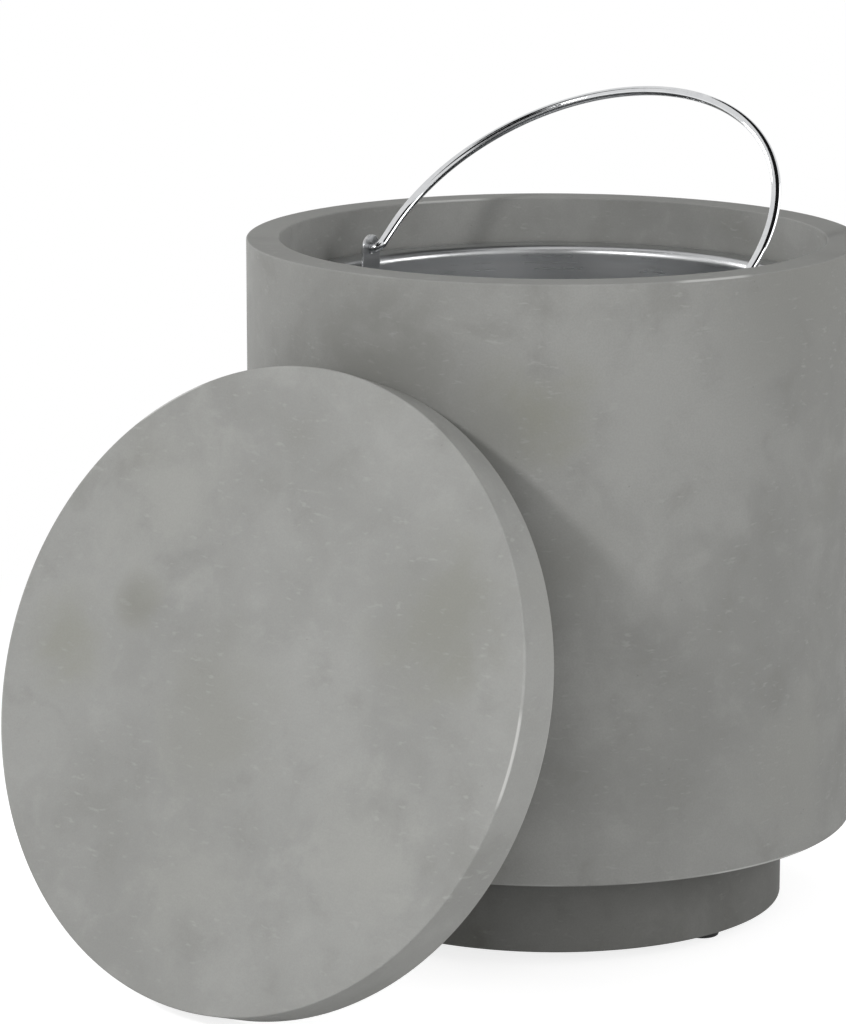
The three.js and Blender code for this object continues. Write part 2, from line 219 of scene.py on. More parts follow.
def rounded(corners, closed=False):
    """Profile points (r, z, wear) from corners (r, z), (r, z, radius) or (r, z, radius, True).

    The last kind is an outward arris: its points have a wear of 1, and all others 0. An open profile's ends
    aren't rounded.
    """
    found = []
    count = len(corners)
    for i, (r, z, *more) in enumerate(corners):
        if not more or (not closed and i in (0, count - 1)):
            found.append((r, z, 0.0))
            continue
        before, after = Vector(corners[i - 1][:2]), Vector(corners[(i + 1) % count][:2])
        worn_and_highlit = 1.0 if len(more) > 1 else 0.0
        found += [(p.x, p.y, worn_and_highlit) for p in corner_arc(before, Vector((r, z)), after, more[0])]
    return found


def with_rows(profile):
    """The profile with plain points, off the arrises, on its long runs, of which one is close to each end of the
    run.
    """
    rows = [profile[0]]
    for start, end in zip(profile, profile[1:]):
        a, b = Vector(start[:2]), Vector(end[:2])
        length = (b - a).length
        if length > 4 * END_ROW:
            count = max(1, math.ceil((length - 2 * END_ROW) / LONGEST_ROW))
            for k in range(count + 1):
                p = a.lerp(b, END_ROW / length + (1 - 2 * END_ROW / length) * k / count)
                rows.append((p.x, p.y, 0.0))
        rows.append(end)
    return rows


def lathe(name, profile, centre=None, turns=TURNS, closed=False):
    """A mesh of revolution about a vertical axis, from points (r, z, wear). A point with r = 0 is a pole."""
    mesh = bpy.data.meshes.new(name)
    shape = bmesh.new()
    wear_and_highlight = shape.verts.layers.float.new("wear_and_highlight")
    centre = AXIS if centre is None else centre
    angles = [2 * math.pi * k / turns for k in range(turns)]
    rings = []
    for r, z, worn_and_highlit in profile:
        spots = [(r * math.cos(a), r * math.sin(a)) for a in angles] if r > TINY else [(0, 0)]
        ring = [shape.verts.new((centre.x + x, centre.y + y, centre.z + z)) for x, y in spots]
        for vertex in ring:
            vertex[wear_and_highlight] = worn_and_highlit
        rings.append(ring)
    pairs = list(zip(rings, rings[1:]))
    if closed:
        pairs.append((rings[-1], rings[0]))
    for low, high in pairs:
        for k in range(turns):
            after = (k + 1) % turns
            corners = [low[k % len(low)], low[after % len(low)], high[after % len(high)], high[k % len(high)]]
            face = list(dict.fromkeys(corners))
            if len(face) > 2:
                shape.faces.new(face)
    bmesh.ops.recalc_face_normals(shape, faces=shape.faces)
    for face in shape.faces:
        face.smooth = True
    shape.to_mesh(mesh)
    shape.free()
    return new_object(name, mesh)


def evaluated_mesh(piece):
    """A new mesh of what a piece looks like with its modifiers."""
    bpy.context.view_layer.update()
    made = piece.evaluated_get(bpy.context.evaluated_depsgraph_get())
    return bpy.data.meshes.new_from_object(made)


def combine(piece, other, operation):
    """Cuts another mesh out of a piece, or joins or meets the two, and removes the other."""
    modifier = piece.modifiers.new("combine", "BOOLEAN")
    modifier.operation = operation
    modifier.solver = "EXACT"
    modifier.object = other
    mesh = evaluated_mesh(piece)
    piece.modifiers.clear()
    piece.data = mesh
    bpy.data.objects.remove(other)


def cut_with(piece, cutters):
    """Cuts all of some other meshes out of a piece."""
    for cutter in cutters:
        combine(piece, cutter, "DIFFERENCE")
    return piece


def bar(radius, low, high, centre):
    """A plain round bar to cut with."""
    profile = rounded([(0, low), (radius, low), (radius, high), (0, high)])
    return lathe("cutter", profile, centre, SMALL_TURNS)


def middle_of(node):
    """The middle of a CAD node's box, at height zero."""
    low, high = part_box(node)
    middle = (low + high) / 2
    middle.z = 0
    return middle


def uneven(piece):
    """Sinks the surface of a casting by a small, slowly changing amount."""
    shape = bmesh.new()
    shape.from_mesh(piece.data)
    shape.normal_update()
    moves = []
    for vertex in shape.verts:
        broad = noise.noise(vertex.co / WAVE)
        fine = noise.noise(vertex.co / RIPPLE + RIPPLE_OFFSET)
        depth = CAST_UNEVENNESS * (MEAN_SHARE + WAVE_SHARE * broad + RIPPLE_SHARE * fine)
        moves.append(vertex.normal * -depth)
    for vertex, move in zip(shape.verts, moves):
        vertex.co += move
    shape.to_mesh(piece.data)
    shape.free()
    return piece


# Materials
class Nodes:
    """A node tree and short ways to add nodes to it."""

    def __init__(self, tree):
        self.tree = tree

    def node(self, kind, inputs=None, **settings):
        """Adds a node with its settings, and feeds its inputs."""
        made = self.tree.nodes.new(kind)
        for name, value in settings.items():
            setattr(made, name, value)
        for key, value in (inputs or {}).items():
            self.feed(made.inputs[key], value)
        return made

    def feed(self, socket, value):
        """Links a value that is a socket, and sets any other."""
        if isinstance(value, bpy.types.NodeSocket):
            self.tree.links.new(value, socket)
        else:
            socket.default_value = value

    def math(self, operation, a, b=0.0):
        return self.node("ShaderNodeMath", {0: a, 1: b}, operation=operation).outputs[0]

    def vector(self, operation, a, b):
        return self.node("ShaderNodeVectorMath", {0: a, 1: b}, operation=operation).outputs[0]

    def ramp(self, value, low, high, out_low=0.0, out_high=1.0):
        """Maps low to out_low and high to out_high, smoothly, and holds beyond them."""
        made = self.node("ShaderNodeMapRange", {
            "Value": value, "From Min": low, "From Max": high, "To Min": out_low, "To Max": out_high,
        }, interpolation_type="SMOOTHSTEP")
        return made.outputs["Result"]

    def seen_directly(self):
        """1 for camera, glossy and transmission rays, and 0 for the rays that carry light."""
        ray = self.node("ShaderNodeLightPath").outputs
        seen = self.math("MAXIMUM", ray["Is Camera Ray"], ray["Is Glossy Ray"])
        return self.math("MAXIMUM", seen, ray["Is Transmission Ray"])

    def mix_shaders(self, share, a, b):
        return self.node("ShaderNodeMixShader", {0: share, 1: a.outputs[0], 2: b.outputs[0]})

    def finish_with(self, kind, shown):
        """Ends the tree in an output node that shows another node's shader."""
        self.node(kind, {"Surface": shown.outputs[0]})


class Shader(Nodes):
    """A Principled material and short ways to add textures to it."""

    def __init__(self, name, **values):
        self.material = bpy.data.materials.new(name)
        self.material.use_nodes = True
        super().__init__(self.material.node_tree)
        self.principled = self.tree.nodes["Principled BSDF"]
        self.set(**values)

    def set(self, **values):
        """Feeds the Principled node's sockets, named with underscores for spaces."""
        for socket, value in values.items():
            self.feed(self.principled.inputs[socket.replace("_", " ")], value)

    def place(self):
        """Object coordinates, which are the row frame's metres on every piece."""
        return self.node("ShaderNodeTexCoord").outputs["Object"]

    def noise(self, where, scale, detail=4.0, roughness=0.5, distortion=0.0, offset=(0, 0, 0)):
        made = self.node("ShaderNodeTexNoise", {
            "Vector": self.vector("ADD", where, offset), "Scale": scale, "Detail": detail,
            "Roughness": roughness, "Distortion": distortion,
        })
        return made.outputs["Fac"]

    def distance(self, where, centre):
        made = self.node("ShaderNodeVectorMath", {0: where, 1: centre}, operation="DISTANCE")
        return made.outputs["Value"]

    def mix(self, share, a, b):
        """Mixes two colours."""
        made = self.node("ShaderNodeMix", data_type="RGBA")
        for index, value in ((0, share), (6, a), (7, b)):
            self.feed(made.inputs[index], value)
        return made.outputs[2]

    def bump(self, height, strength, distance):
        made = self.node("ShaderNodeBump", {"Height": height, "Strength": strength, "Distance": distance})
        self.set(Normal=made.outputs[0])


def grey(level, tint):
    """A colour from an 8-bit display level and small steps from it in red, green and blue."""
    def linear(value):
        share = value / 255
        return share / 12.92 if share <= 0.04045 else ((share + 0.055) / 1.055) ** 2.4
    return (*(linear(level + step) for step in tint), 1.0)


# Display levels of the three castings, steps from them of the concrete's marks and of painted light on the rim's
# top, and its lasting tint
# The plinth's level is set dark as painted shade under the drum's overhang, and the lid's pale as painted light on
# its upturned face.
DRUM_LEVEL, PLINTH_PAINTED_SHADE_LEVEL, LID_PAINTED_LIGHT_LEVEL = 146, 112, 159
CLOUD_STEP, PATCH_STEP, STAIN_STEP, GRAIN_STEP = 5, 12, -15, -32
TOP_PAINTED_LIGHT_STEP, FLECK_STEP, WORN_AND_HIGHLIGHT_STEP, PINHOLE_STEP = 8, 14, 40, -48
CONCRETE_TINT = (0, 0.2, -2.5)
FLECK_STRETCH = (0.35, 0.35, 1.0)


class Concrete(Shader):
    """Smooth cast concrete: a warm matte grey round one display level, and ways to mark it."""

    def __init__(self, name, level):
        super().__init__(name, Specular_IOR_Level=0.3)
        self.level = level
        self.where = self.place()
        self.clouds = self.noise(self.where, 8.0, 5.0, 0.55, 0.4)
        self.patches = self.noise(self.where, 27.0, 5.0, 0.6, 0.3, offset=(3, 1, 2))
        self.grain = self.noise(self.where, 900.0, 3.0, 0.6)
        self.colour = self.tone(-CLOUD_STEP)
        self.turn_to(self.ramp(self.clouds, 0.34, 0.66), CLOUD_STEP)

    def tone(self, step, yellow=0.0):
        """The concrete's colour at a step from its level, and yellower by so many levels of blue."""
        red, green, blue = CONCRETE_TINT
        return grey(self.level + step, (red, green, blue - yellow))

    def turn_to(self, share, step, yellow=0.0):
        """Brings the colour nearer to a tone by a share."""
        self.colour = self.mix(share, self.colour, self.tone(step, yellow))

    def mottle(self):
        """Dark and light patches, and fewer yellowish stains."""
        stains = self.noise(self.where, 13.0, 2.0, 0.45, 0.2, offset=(8, 5, 4))
        self.turn_to(self.ramp(self.patches, 0.5, 0.72, 0.0, 0.55), -PATCH_STEP, 1)
        self.turn_to(self.ramp(self.patches, 0.5, 0.28, 0.0, 0.55), PATCH_STEP)
        self.turn_to(self.ramp(stains, 0.6, 0.8, 0.0, 0.4), STAIN_STEP, 4)

    def place_clouds_and_painted_light(self, places):
        """Clouds of tone at chosen places, with ragged edges; on the drum some of them are painted shade and
        painted light.
        """
        ragged = self.ramp(self.patches, 0.3, 0.7, -0.3, 0.3)
        for centre, radius, step, yellow in places:
            away = self.math("DIVIDE", self.distance(self.where, centre), radius)
            self.turn_to(self.ramp(self.math("ADD", away, ragged), 0.0, 1.0, 0.85, 0.0), step, yellow)

    def paint_light_on_top(self, height):
        """Painted light: a paler colour above a height, which lightens the drum's up-facing rim top."""
        z = self.node("ShaderNodeSeparateXYZ", {0: self.where}).outputs[2]
        self.turn_to(self.ramp(z, height, height + EDGE_ROUND, 0.0, 0.6), TOP_PAINTED_LIGHT_STEP)

    def fleck(self):
        """Small pale flecks that lie flat, thicker in some places than in others."""
        where = self.vector("MULTIPLY", self.where, FLECK_STRETCH)
        flecks = self.noise(where, 330.0, 2.0, 0.5, offset=(5, 2, 7))
        thickness = self.ramp(self.patches, 0.4, 0.6, 0.2, 0.6)
        self.turn_to(self.math("MULTIPLY", self.ramp(flecks, 0.6, 0.76), thickness), FLECK_STEP)

    def wear_and_highlight(self, places):
        """Pale arrises, partly wear and partly a painted highlight: strongly at chosen places, faintly here and
        there, and nowhere off the arrises.
        """
        worn_and_highlit = self.ramp(self.clouds, 0.56, 0.68, 0.0, 0.4)
        for centre, radius in places:
            near = self.ramp(self.distance(self.where, centre), radius * 0.6, radius, 1.0, 0.0)
            worn_and_highlit = self.math("MAXIMUM", worn_and_highlit, near)
        arris = self.node("ShaderNodeAttribute", attribute_name="wear_and_highlight").outputs["Fac"]
        self.turn_to(self.math("MULTIPLY", arris, worn_and_highlit), WORN_AND_HIGHLIGHT_STEP)

    def pit(self):
        """Rare dark pinholes, and the height that they, the grain and the patches give the surface."""
        cells = self.node("ShaderNodeTexVoronoi", {"Vector": self.where, "Scale": 160.0, "Randomness": 1.0})
        rare = self.ramp(self.noise(self.where, 60.0, 2.0, offset=(1, 9, 4)), 0.6, 0.7)
        pinhole = self.math("MULTIPLY", self.ramp(cells.outputs["Distance"], 0.04, 0.11, 1.0, 0.0), rare)
        self.turn_to(self.math("MULTIPLY", pinhole, 0.3), PINHOLE_STEP)
        fine, broad = self.math("MULTIPLY", self.grain, 0.25), self.math("MULTIPLY", self.patches, 0.8)
        depth = self.math("MULTIPLY", pinhole, 1.2)
        self.bump(self.math("SUBTRACT", self.math("ADD", fine, broad), depth), 0.3, 0.0004)


def concrete(name, level, clouds_and_painted_light_at=(), worn_and_highlit_at=(), painted_light_above=None):
    """The material of one casting."""
    made = Concrete(name, level)
    made.mottle()
    made.place_clouds_and_painted_light(clouds_and_painted_light_at)
    made.turn_to(made.ramp(made.grain, 0.35, 0.65, 0.0, 0.12), GRAIN_STEP)
    if painted_light_above is not None:
        made.paint_light_on_top(painted_light_above)
    made.fleck()
    made.wear_and_highlight(worn_and_highlit_at)
    made.pit()
    made.set(Base_Color=made.colour, Roughness=made.ramp(made.clouds, 0.3, 0.7, 0.76, 0.9))
    return made.material


def on_drum(degrees, height):
    """A point on the drum's side, at a height above the ground."""
    angle = math.radians(degrees)
    return AXIS + Vector((DRUM_RADIUS * math.cos(angle), DRUM_RADIUS * math.sin(angle), height))


def on_lid(across, up):
    """A point on the lid's face."""
    return LID_PLACE @ Vector((across, up, LID_THICKNESS))


# Clouds that show in the castings, some of them painted shade and painted light on the drum: place, radius, step
# of tone and yellowness
# On the drum, the dark clouds round the leaning lid's top and beside its right edge, from -100 to -53 degrees, are
# painted shade; the pale ones at -48 and -36 degrees beside that shade and at -150 degrees on the rim are painted
# light.
DRUM_CLOUDS_AND_PAINTED_LIGHT = (
    (on_drum(-84, 0.385), 0.085, -18, 1),
    (on_drum(-100, 0.350), 0.060, -12, 1),
    (on_drum(-36, 0.375), 0.130, 10, 0),
    (on_drum(-57, 0.366), 0.045, -7, 6),
    (on_drum(0, 0.440), 0.110, -5, 1),
    (on_drum(-4, 0.130), 0.060, 4, 1),
    (on_drum(70, 0.300), 0.110, 9, 0),
    (on_drum(130, 0.180), 0.090, -10, 3),
    (on_drum(170, 0.330), 0.100, -7, 2),
    (on_drum(-150, 0.446), 0.080, 15, 0),
    (on_drum(-48, 0.190), 0.050, 10, 0),
    (on_drum(-66, 0.350), 0.045, -9, 1),
    (on_drum(-53, 0.272), 0.040, -6, 1),
)
LID_CLOUDS = (
    (on_lid(-0.102, 0.041), 0.024, -16, 4),
    (on_lid(-0.095, 0.112), 0.070, 7, 1),
    (on_lid(0.110, -0.080), 0.060, 9, 1),
    (on_lid(-0.155, 0.005), 0.040, -5, 5),
    (on_lid(0.135, 0.060), 0.065, -13, 4),
    (on_lid(-0.020, -0.030), 0.060, -5, 2),
    (on_lid(-0.020, -0.130), 0.060, 5, 1),
)

# Stretches of arris that are pale, partly rubbed and partly a painted highlight: place and radius
DRUM_WORN_AND_HIGHLIT = (
    (on_drum(-24, DRUM_HIGH.z), 0.030),
    (on_drum(-12, DRUM_LOW.z), 0.050),
    (on_drum(150, DRUM_HIGH.z), 0.045),
)
LID_WORN_AND_HIGHLIT = (
    (on_lid(0.201, -0.012), 0.034),
    (on_lid(-0.110, 0.168), 0.030),
)

# How far a texture on turned work wanders along a ring
SPUN_WANDER = 0.0006


def turned_place(shader, where, wander):
    """A place for textures on turned work: it changes with radius and height, and hardly along a ring."""
    x, y, height = shader.node("ShaderNodeSeparateXYZ", {0: shader.vector("SUBTRACT", where, AXIS)}).outputs
    squares = [shader.math("MULTIPLY", side, side) for side in (x, y)]
    radius = shader.math("SQRT", shader.math("ADD", *squares))
    inner = shader.math("DIVIDE", wander, shader.math("MAXIMUM", radius, wander))
    return shader.node("ShaderNodeCombineXYZ", {
        0: shader.math("MULTIPLY", x, inner), 1: shader.math("MULTIPLY", y, inner),
        2: shader.math("ADD", radius, height),
    }).outputs[0]


def spun_steel():
    """Satin stainless sheet, finished on a spindle: fine rings round the axis, faint smudges."""
    shader = Shader("bucket_steel", Metallic=1.0, Anisotropic=0.45)
    where = shader.place()
    ringed = turned_place(shader, where, SPUN_WANDER)
    rings = shader.noise(ringed, 620.0, 3.0, 0.6)
    bands = shader.noise(ringed, 90.0, 2.0, 0.5, offset=(2, 0, 1))
    smudges = shader.noise(where, 26.0, 4.0, 0.6, 0.5)
    colour = shader.mix(shader.ramp(bands, 0.3, 0.7), (0.57, 0.58, 0.59, 1), (0.65, 0.655, 0.66, 1))
    ring_roughness = shader.ramp(rings, 0.3, 0.7, 0.27, 0.33)
    smudge_roughness = shader.ramp(smudges, 0.45, 0.7, 0.0, 0.06)
    shader.set(Base_Color=colour, Roughness=shader.math("ADD", ring_roughness, smudge_roughness))
    shader.bump(rings, 0.03, 0.00003)
    return shader.material


def chrome():
    """Bright plated rod with the faintest haze and handling marks."""
    shader = Shader("bail_chrome", Metallic=1.0)
    where = shader.place()
    haze = shader.noise(where, 90.0, 5.0, 0.6, 0.6)
    marks = shader.noise(where, 1400.0, 2.0, 0.6)
    colour = shader.mix(shader.ramp(haze, 0.35, 0.7), (0.83, 0.84, 0.85, 1), (0.76, 0.77, 0.785, 1))
    shader.set(Base_Color=colour, Roughness=shader.ramp(haze, 0.4, 0.75, 0.05, 0.14))
    shader.bump(marks, 0.04, 0.00005)
    return shader.material


def zinc():
    """Zinc-plated fastener steel with a slightly uneven passivated colour."""
    shader = Shader("zinc_steel", Metallic=1.0)
    spangle = shader.noise(shader.place(), 260.0, 4.0, 0.6, 0.8)
    colour = shader.mix(shader.ramp(spangle, 0.35, 0.65), (0.47, 0.48, 0.5, 1), (0.6, 0.6, 0.585, 1))
    shader.set(Base_Color=colour, Roughness=shader.ramp(spangle, 0.3, 0.7, 0.3, 0.5))
    shader.bump(spangle, 0.1, 0.0001)
    return shader.material


def brass():
    """Turned brass, a little dull."""
    shader = Shader("insert_brass", Metallic=1.0)
    tarnish = shader.noise(shader.place(), 180.0, 4.0, 0.6, 0.4)
    colour = shader.mix(shader.ramp(tarnish, 0.4, 0.7), (0.6, 0.47, 0.2, 1), (0.42, 0.31, 0.13, 1))
    shader.set(Base_Color=colour, Roughness=shader.ramp(tarnish, 0.3, 0.7, 0.28, 0.5))
    return shader.material


def rubber():
    """Black moulded rubber with dust in its grain."""
    shader = Shader("foot_rubber", Specular_IOR_Level=0.4)
    where = shader.place()
    grain = shader.noise(where, 1800.0, 3.0, 0.6)
    dust = shader.noise(where, 120.0, 4.0, 0.6)
    dusty = shader.ramp(dust, 0.45, 0.8, 0.0, 0.3)
    colour = shader.mix(dusty, (0.018, 0.018, 0.019, 1), (0.075, 0.073, 0.07, 1))
    shader.set(Base_Color=colour, Roughness=shader.ramp(grain, 0.3, 0.7, 0.65, 0.85))
    shader.bump(grain, 0.25, 0.0001)
    return shader.material


def silicone():
    """Soft frosted clear pad."""
    shader = Shader("bumper_clear", Transmission_Weight=0.6, IOR=1.42)
    frost = shader.noise(shader.place(), 700.0, 3.0, 0.6)
    colour = shader.mix(shader.ramp(frost, 0.3, 0.7), (0.62, 0.64, 0.64, 1), (0.7, 0.72, 0.71, 1))
    shader.set(Base_Color=colour, Roughness=shader.ramp(frost, 0.3, 0.7, 0.28, 0.42))
    shader.bump(frost, 0.1, 0.0001)
    return shader.material


CASTINGS = {
    "drum": concrete("concrete_drum", DRUM_LEVEL, DRUM_CLOUDS_AND_PAINTED_LIGHT, DRUM_WORN_AND_HIGHLIT, DRUM_HIGH.z - EDGE_ROUND),
    "plinth": concrete("concrete_plinth_painted_shade", PLINTH_PAINTED_SHADE_LEVEL),
    "lid": concrete("concrete_lid_painted_light", LID_PAINTED_LIGHT_LEVEL, LID_CLOUDS, LID_WORN_AND_HIGHLIT),
}
FINISHES = {
    "bucket_steel": spun_steel(),
    "bail_chrome": chrome(),
    "zinc_steel": zinc(),
    "insert_brass": brass(),
    "foot_rubber": rubber(),
    "bumper_clear": silicone(),
}


def dress(piece, finish, body, node, material=None):
    """Gives a piece its finish and its body, and hides the CAD node that it stands for."""
    piece.data.materials.clear()
    piece.data.materials.append(material or FINISHES[finish])
    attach(piece, body)
    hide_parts(node)


# The drum: wall, rim, ledge for the bucket, floor, and pockets for the threaded inserts
def make_drum():
    bottom, rim = DRUM_LOW.z, DRUM_HIGH.z
    bore = DRUM_RADIUS - DRUM_WALL
    ledge_bottom = LEDGE_TOP - LEDGE_HEIGHT
    floor = bottom + DRUM_FLOOR
    profile = rounded([
        (0, bottom),
        (DRUM_RADIUS, bottom, EDGE_ROUND, True),
        (DRUM_RADIUS, rim, EDGE_ROUND, True),
        (bore, rim, EDGE_ROUND, True),
        (bore, LEDGE_TOP),
        (LEDGE_RADIUS, LEDGE_TOP, LEDGE_ROUND, True),
        (LEDGE_RADIUS, ledge_bottom),
        (bore, ledge_bottom - (bore - LEDGE_RADIUS)),
        (bore, floor, FLOOR_ROUND),
        (0, floor),
    ])
    drum = uneven(lathe("drum", with_rows(profile)))
    pockets = []
    for i in FOURS:
        low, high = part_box(f"floor_insert_{i}")
        radius = (high.x - low.x) / 2 + HOLE_GAP
        pockets.append(bar(radius, bottom - CUT_OVERRUN, high.z + HOLE_GAP, middle_of(f"floor_insert_{i}")))
    dress(cut_with(drum, pockets), "concrete", "root", "drum_shell", CASTINGS["drum"])


# The plinth: a ring with a web across its top, counterbored for bolts and drilled for the foot studs
def make_plinth():
    bottom, top = PLINTH_LOW.z, PLINTH_HIGH.z
    recess = PLINTH_RADIUS - PLINTH_RING
    web = top - PLINTH_WEB
    profile = rounded([
        (0, web),
        (recess, web, RECESS_ROUND),
        (recess, bottom),
        (PLINTH_RADIUS, bottom, EDGE_ROUND, True),
        (PLINTH_RADIUS, top, EDGE_ROUND, True),
        (0, top),
    ])
    plinth = uneven(lathe("plinth_ring", with_rows(profile)))
    cutters = []
    for i in FOURS:
        low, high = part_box(f"plinth_washer_{i}")
        centre = middle_of(f"plinth_washer_{i}")
        cutters.append(bar((high.x - low.x) / 2 + COUNTERBORE_GAP, bottom - CUT_OVERRUN, web, centre))
        cutters.append(bar(BOLT_HOLE_RADIUS, web - CUT_OVERRUN, top + CUT_OVERRUN, centre))
        low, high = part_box(f"foot_stud_{i}")
        centre = middle_of(f"foot_stud_{i}")
        cutters.append(bar((high.x - low.x) / 2 + HOLE_GAP, bottom - CUT_OVERRUN, high.z + HOLE_GAP, centre))
    dress(cut_with(plinth, cutters), "concrete", "root", "plinth", CASTINGS["plinth"])


# The lid, made flat with its underside at height zero and then laid in its leaning place
def make_lid():
    profile = rounded([
        (0, -BOSS_DEPTH),
        (BOSS_RADIUS, -BOSS_DEPTH, BOSS_ROUND, True),
        (BOSS_RADIUS, 0),
        (LID_RADIUS, 0, EDGE_ROUND, True),
        (LID_RADIUS, LID_THICKNESS, EDGE_ROUND, True),
        (0, LID_THICKNESS),
    ])
    lid = uneven(lathe("lid", with_rows(profile), ORIGIN))
    lid.data.transform(LID_PLACE)
    dress(lid, "concrete", "lid", "lid_slab", CASTINGS["lid"])


def make_bumper(i):
    """A soft domed pad, stuck under the lid where it rests on the drum's rim."""
    low, high = -SEAT_GAP - BUMPER_THICKNESS, -SEAT_GAP
    profile = rounded([
        (0, low),
        (BUMPER_RADIUS * BUMPER_FLAT_SHARE, low, BUMPER_DOME_ROUND),
        (BUMPER_RADIUS, high - BUMPER_THICKNESS * BUMPER_SIDE_SHARE, BUMPER_EDGE_ROUND),
        (BUMPER_RADIUS, high),
        (0, high),
    ])
    angle = math.pi / 4 + (i - 1) * math.pi / 2
    rim_middle = DRUM_RADIUS - DRUM_WALL / 2
    centre = Vector((rim_middle * math.cos(angle), rim_middle * math.sin(angle), 0))
    bumper = lathe(f"bumper_{i}", profile, centre, SMALL_TURNS)
    bumper.data.transform(LID_PLACE)
    dress(bumper, "bumper_clear", "lid", f"lid_bumper_{i}")


# The bucket: drawn sheet with a flange, a rolled bead and a raised base panel
def bead_points():
    """The bead's round, from the flange's underside round the outside to its top."""
    centre = Vector((BUCKET_RADIUS - BEAD_RADIUS, BUCKET_HIGH.z - BEAD_RADIUS))
    sweep = math.pi * 1.5 + math.asin((BEAD_RADIUS - SHEET) / BEAD_RADIUS)
    return arc(centre.x, centre.y, BEAD_RADIUS, math.pi / 2 - sweep, math.pi / 2, BEAD_STEPS)


def make_bucket():
    top, bottom = BUCKET_HIGH.z, BUCKET_LOW.z
    panel = bottom + PANEL_RISE
    profile = rounded([
        (0, panel),
        (PANEL_RADIUS, panel, PANEL_ROUND),
        (PANEL_RADIUS + PANEL_SLOPE, bottom, PANEL_ROUND),
        (BUCKET_BASE_RADIUS, bottom, BUCKET_CORNER),
        (BUCKET_TOP_RADIUS, top - SHEET, BUCKET_NECK),
        *bead_points(),
        (BUCKET_TOP_RADIUS - SHEET, top, BUCKET_NECK + SHEET),
        (BUCKET_BASE_RADIUS - SHEET, bottom + SHEET, BUCKET_CORNER - SHEET),
        (PANEL_RADIUS + PANEL_SLOPE, bottom + SHEET, PANEL_ROUND),
        (PANEL_RADIUS, panel + SHEET, PANEL_ROUND),
        (0, panel + SHEET),
    ])
    dress(lathe("bucket", with_rows(profile)), "bucket_steel", "ice_bucket", "bucket_shell")


# The bail's ears: stamped plates with an eye
def plate(name, outline, holes, thickness, edge):
    """A flat plate in the X-Y plane, centred on its thickness, with rounded edges."""
    curve = bpy.data.curves.new(name, "CURVE")
    curve.dimensions = "2D"
    curve.fill_mode = "BOTH"
    curve.extrude = thickness / 2 - edge
    curve.bevel_depth = edge
    curve.bevel_resolution = BEVEL_STEPS
    curve.offset = -edge
    for ring in [outline, *holes]:
        spline = curve.splines.new("POLY")
        spline.points.add(len(ring) - 1)
        for point, (x, y) in zip(spline.points, ring):
            point.co = (x, y, 0, 1)
        spline.use_cyclic_u = True
    shape = new_object(name + "_outline", curve)
    mesh = evaluated_mesh(shape)
    bpy.data.objects.remove(shape)
    flat = bmesh.new()
    flat.from_mesh(mesh)
    bmesh.ops.remove_doubles(flat, verts=flat.verts, dist=MERGE_DISTANCE)
    bmesh.ops.recalc_face_normals(flat, faces=flat.faces)
    flat.to_mesh(mesh)
    flat.free()
    return new_object(name, mesh)


def circle(cx, cy, radius, steps):
    """Points of a whole circle in the plane."""
    return arc(cx, cy, radius, 0, 2 * math.pi, steps)[:-1]


def make_ear(side):
    low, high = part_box(f"bail_ear_{side}")
    pivot = JOINTS["bail_swing"]["pos_m"][2]
    base_top = pivot - EYE_HEIGHT
    half = (high.y - low.y) / 2
    outline = rounded([
        (-half, low.z, EAR_CORNER),
        (half, low.z, EAR_CORNER),
        (half, base_top, EAR_CORNER),
        (EYE_RADIUS, base_top, EAR_CORNER),
        *arc(0, pivot, EYE_RADIUS, 0, math.pi, EYE_STEPS),
        (-EYE_RADIUS, base_top, EAR_CORNER),
        (-half, base_top, EAR_CORNER),
    ], closed=True)
    rivet_low, rivet_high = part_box(f"ear_rivet_{side}_front")
    rivet_height = (rivet_low.z + rivet_high.z) / 2
    holes = [circle(0, pivot, ROD_RADIUS + EAR_GAP, EYE_HOLE_STEPS)]
    for end in ("front", "rear"):
        y = middle_of(f"ear_rivet_{side}_{end}").y - AXIS.y
        holes.append(circle(y, rivet_height, RIVET_HOLE_RADIUS, RIVET_HOLE_STEPS))
    ear = plate(f"ear_{side}", [(y, z) for y, z, _ in outline], holes, high.x - low.x, EAR_EDGE)
    stand_up = Matrix(((0, 0, 1, (low.x + high.x) / 2), (1, 0, 0, AXIS.y), (0, 1, 0, 0), (0, 0, 0, 1)))
    ear.data.transform(stand_up)
    dress(ear, "bucket_steel", "ice_bucket", f"bail_ear_{side}")


def make_rivet(side, end):
    """A blind rivet: a low dome inside the ear and a set head outside the bucket's wall."""
    node = f"ear_rivet_{side}_{end}"
    low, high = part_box(node)
    length = high.x - low.x
    head_radius = (high.z - low.z) / 2
    angles = [math.pi / 2 * k / DOME_STEPS for k in range(DOME_STEPS + 1)]
    dome = [(head_radius * math.sin(a), RIVET_HEAD * (1 - math.cos(a)), 0) for a in angles]
    profile = [
        *dome,
        (RIVET_SHANK_RADIUS, RIVET_HEAD, 0),
        (RIVET_SHANK_RADIUS, length - RIVET_HEAD, 0),
        *[(r * SET_HEAD_SHARE if r < head_radius else r, length - z, 0) for r, z, _ in reversed(dome)],
    ]
    rivet = lathe(f"rivet_{side}_{end}", profile, ORIGIN, RIVET_TURNS)
    inward = 1 if side == "right" else -1
    centre = (low + high) / 2
    start = low.x if side == "right" else high.x
    turn = Matrix(((0, 0, inward, start), (1, 0, 0, centre.y), (0, inward, 0, centre.z), (0, 0, 0, 1)))
    rivet.data.transform(turn)
    dress(rivet, "bucket_steel", "ice_bucket", node)


